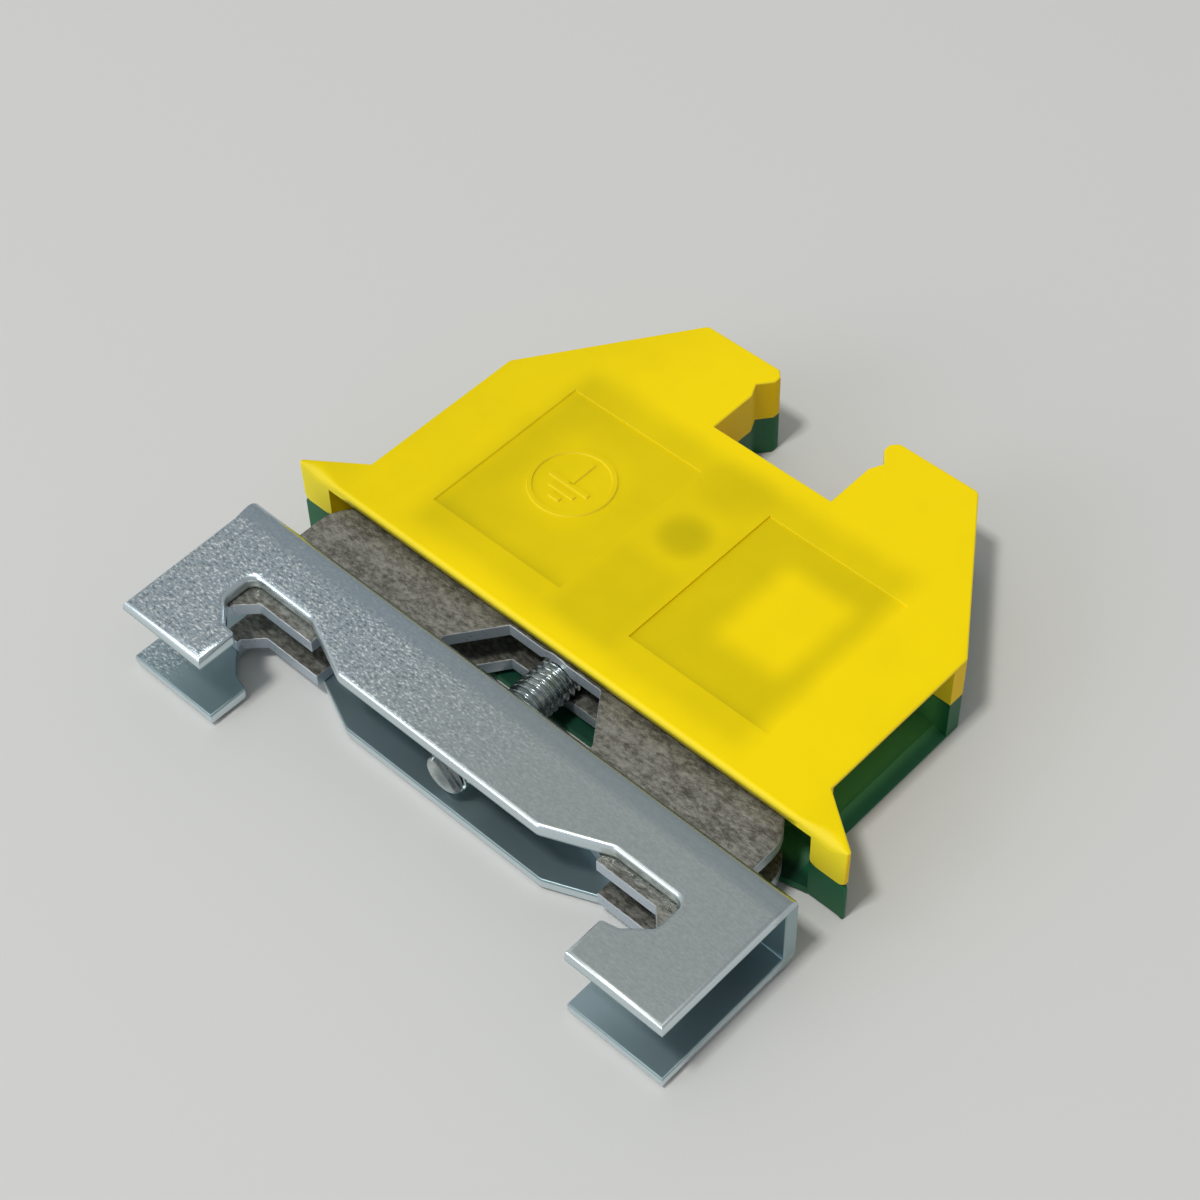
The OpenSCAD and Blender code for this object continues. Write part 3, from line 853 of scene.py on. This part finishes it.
def sign_ring(solid):
    outline = [
        (SIGN_R, SIGN_BASE),
        (SIGN_R - SIGN_SLOPE, SIGN_TOP),
        (SIGN_R - SIGN_LINE + SIGN_SLOPE, SIGN_TOP),
        (SIGN_R - SIGN_LINE, SIGN_BASE),
    ]
    rings = []
    for i in range(SIGN_SIDES):
        turn = 2 * math.pi * i / SIGN_SIDES
        across, up = math.cos(turn), math.sin(turn)
        rings.append([sign_point(solid, r * across, r * up, z) for r, z in outline])
    for i, ring in enumerate(rings):
        after = rings[(i + 1) % SIGN_SIDES]
        for k in range(4):
            n = (k + 1) % 4
            solid.faces.new([ring[k], after[k], after[n], ring[n]])


print("the sign is", 2 * SIGN_R, "mm wide")

# %% Raise the earth sign
SIGN_STEM = (0.95, SIGN_LINE, 2.3)
SIGN_BARS = ((-0.25, 3.4), (-0.95, 2.2), (-1.65, 1.0))

sign = bmesh.new()
sign_ring(sign)
sign_bar(sign, *SIGN_STEM)
for bar_y, bar_width in SIGN_BARS:
    sign_bar(sign, bar_y, bar_width, SIGN_LINE)
hand_in(sign, "earth_sign", yellow_finish, "housing")

# %% [markdown]
# ## Plates, bar and yokes
# The plates and the bar are punched from strip and the yokes are folded from it. Tumbling in a
# drum of stones takes the burr off and leaves a small round edge, alike all along a piece. So one
# width of bevel suits each, and the bevel operator does the work on every edge that is sharp
# enough.

# %% Ease the edges of the metal
SHARP = math.radians(40)


def sharp_edges(solid):
    return [e for e in solid.edges if len(e.link_faces) == 2 and e.calc_face_angle() > SHARP]


def bevel(solid, edges, width, segments):
    bmesh.ops.bevel(
        solid,
        geom=edges,
        offset=width,
        segments=segments,
        profile=0.5,
        affect="EDGES",
        clamp_overlap=False,
    )


def eased(node, width_mm, material, body):
    solid = copy_of(node)
    edges = sharp_edges(solid)
    bevel(solid, edges, width_mm * MM, segments=3)
    print(node, "eased along", len(edges), "edges")
    hand_in(solid, node + "_eased", material, body, node)


eased("upper_contact_plate", 0.07, plate_finish, "housing")
eased("lower_contact_plate", 0.07, plate_finish, "housing")
eased("current_bar", 0.08, bar_finish, "housing")
for side in ("left", "right"):
    yoke = side + "_clamping_yoke"
    eased(yoke, 0.06, yoke_finish, yoke)

# %% [markdown]
# ## The foot
# Punching rolls the edge of the sheet over on the side where the punch enters, and most at the
# left toe. So the outside of the foot gets a broad round edge whose radius fades out at the fold,
# by the same rim rounding as the housing, and the inside gets a narrow bevel. The sheet is one
# millimetre thick, so a corner nearly that deep and below the fold counts as inside. The lower leg
# lies with its outside down and keeps a smaller radius.

# %% Choose the roll of the foot's edges
FOLD_START = 10.6 * MM
FADE, FADE_CUTS = 1.2 * MM, (1, 0.75, 0.5, 0.25)
ROLL, LEFT_ROLL, CORNER_ROLL = 0.3 * MM, 0.76 * MM, 0.22 * MM
LEFT_FROM, LEFT_OVER = 9 * MM, 8 * MM
TOE_CORNER = (2.3 * MM, 3.3 * MM)
TOE_SIDE = 15.9 * MM


def roll_radius(place):
    above = place.y - cad_box[0].y
    if TOE_CORNER[0] < above < TOE_CORNER[1] and abs(place.x) < TOE_SIDE:
        return CORNER_ROLL
    left = unit((-place.x - LEFT_FROM) / LEFT_OVER)
    low = unit(1 - above / FOLD_START)
    fade = unit((FOLD_START - above) / FADE)
    return (ROLL + (LEFT_ROLL - ROLL) * left * low) * fade


def even_roll(place):
    return min(ROLL, roll_radius(place))


print("the left toe is rolled by up to", LEFT_ROLL / MM, "mm")

# %% Roll the edges of the foot
BURR = 0.1 * MM
INSIDE_DEPTH = 0.88 * MM

foot = copy_of("rail_foot")
bottom, top = (corner.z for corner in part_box("rail_foot"))
fold_y = cad_box[0].y + FOLD_START


def is_inside(place):
    return bottom + INSIDE_DEPTH < place.z < top - INSIDE_DEPTH and place.y < fold_y


inner = [edge for edge in sharp_edges(foot) if all(is_inside(v.co) for v in edge.verts)]
inner_count = len(inner)
bevel(foot, inner, BURR, segments=2)
for share in FADE_CUTS:
    cut_at(foot, (0, fold_y - FADE * share, 0), (0, 1, 0))
count = round_rim(foot, top, 1, roll_radius) + round_rim(foot, bottom, -1, even_roll)
bmesh.ops.remove_doubles(foot, verts=foot.verts, dist=WELD)
print("rail_foot rolled along", count, "edges, bevelled along", inner_count)
hand_in(foot, "rail_foot_rolled", foot_finish, "rail_foot", "rail_foot")

# %% [markdown]
# ## The screws
# A screw thread is a groove that winds round a bar. A spiral can be swept along a curve, but then
# its ends stay open. Here the skin of the shank is laid out in rows: each point's radius depends
# on how far it is along the bar and how far round, so the groove winds by itself and the skin
# stays closed.

# %% Turn a shank row by row
SCREW_Z = sum(corner.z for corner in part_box("rail_screw")) / 2 / MM
PITCH = 0.5
CREST_R, ROOT_R = 1.49, 1.22
ROOT_SHARE, FLANK_SHARE = 0.2, 0.65
SIDES = 40
ROWS_PER_TURN = 12


def thread_radius(y, turn):
    phase = (y / PITCH - turn) % 1
    rise = abs(phase - 0.5) * 2
    return ROOT_R + (CREST_R - ROOT_R) * unit((rise - ROOT_SHARE) / FLANK_SHARE)


def thread_rows(start, end):
    count = round((end - start) / PITCH * ROWS_PER_TURN)
    return [(start + (end - start) * k / count, thread_radius) for k in range(count + 1)]


def turned(solid, x, rows, deepest=None):
    rings = []
    for y, radius_of in rows:
        ring = []
        for i in range(SIDES):
            turn = i / SIDES
            radius = radius_of(y, turn)
            angle = 2 * math.pi * turn
            across, up = radius * math.sin(angle), radius * math.cos(angle)
            along = max(y, deepest(across, up)) if deepest else y
            ring.append(solid.verts.new(Vector((x + across, along, SCREW_Z + up)) * MM))
        rings.append(ring)
    for ring, after in zip(rings, rings[1:]):
        for i in range(SIDES):
            j = (i + 1) % SIDES
            solid.faces.new([ring[i], ring[j], after[j], after[i]])
    solid.faces.new(rings[0])
    solid.faces.new(rings[-1][::-1])


print("one turn of the thread has", SIDES * ROWS_PER_TURN, "faces")

# %% [markdown]
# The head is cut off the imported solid, so its slot stays exact, and its edges are eased. The new
# shank runs a little way into it.

# %% Keep the head and add a shank
HEAD_H, HEAD_EASE = 1.8, 0.05
SEAT_PLAY = 4 * WELD
SHANK_IN = 0.2


def plain_row(y, radius):
    return y, lambda _, turn: radius


def screw(node, tip_rows, thread_start, deepest=None):
    low, high = (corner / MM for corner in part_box(node))
    seat = high.y - HEAD_H
    solid = copy_of(node)
    cut_at(solid, (0, seat * MM + SEAT_PLAY, 0), (0, 1, 0), clear_inner=True)
    bmesh.ops.holes_fill(solid, edges=[e for e in solid.edges if e.is_boundary])
    bevel(solid, sharp_edges(solid), HEAD_EASE * MM, segments=2)
    rows = [*tip_rows, *thread_rows(thread_start, seat + SHANK_IN)]
    turned(solid, (low.x + high.x) / 2, rows, deepest)
    hand_in(solid, node + "_turned", screw_finish, node, node)


print("a head is", HEAD_H, "mm high")

# %% [markdown]
# The tip of the rail screw is peened wide and staked across with a chisel, so that the foot cannot
# be unscrewed and lost. Peening leaves a dish with three soft lobes round it, and its rows are
# given as pairs of height and radius. The chisel mark pushes every point of the tip that stands
# before it back to it.

# %% Make the rail screw
DISH = ((0.15, 0.05), (0.15, 0.25), (0.14, 0.45), (0.12, 0.65), (0.08, 0.85), (0.02, 1.0))
PEEN = ((0.0, 1.1), (0.03, 1.2), (0.1, 1.29), (0.2, 1.36), (0.3, 1.42), (0.42, 1.46))
PEEN_END = 0.45
LOBES, LOBE_SHARE = 3, 0.012
STAKE_FROM, STAKE_SLOPE, STAKE_MAX = 0.1, 1.6, 0.4


def peened_row(y, radius):
    return y, lambda _, turn: radius * (1 + LOBE_SHARE * math.sin(2 * math.pi * LOBES * turn))


def stake_mark(across, up):
    into = (across + up) / math.sqrt(2) - STAKE_FROM
    return TIP_Y + min(STAKE_MAX, into * STAKE_SLOPE)


tip_rows = [plain_row(TIP_Y + up, radius) for up, radius in DISH]
tip_rows += [peened_row(TIP_Y + up, radius) for up, radius in PEEN]
screw("rail_screw", tip_rows, TIP_Y + PEEN_END, stake_mark)

# %% [markdown]
# The two clamping screws end blunt and stand on the current bar, so that turning one lifts its
# yoke.

# %% Make the clamping screws
BLUNT = ((0, 1.0), (0.2, 1.2))
BLUNT_END = 0.25

for side in ("left", "right"):
    node = side + "_terminal_screw"
    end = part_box(node)[0].y / MM
    screw(node, [plain_row(end + up, radius) for up, radius in BLUNT], end + BLUNT_END)
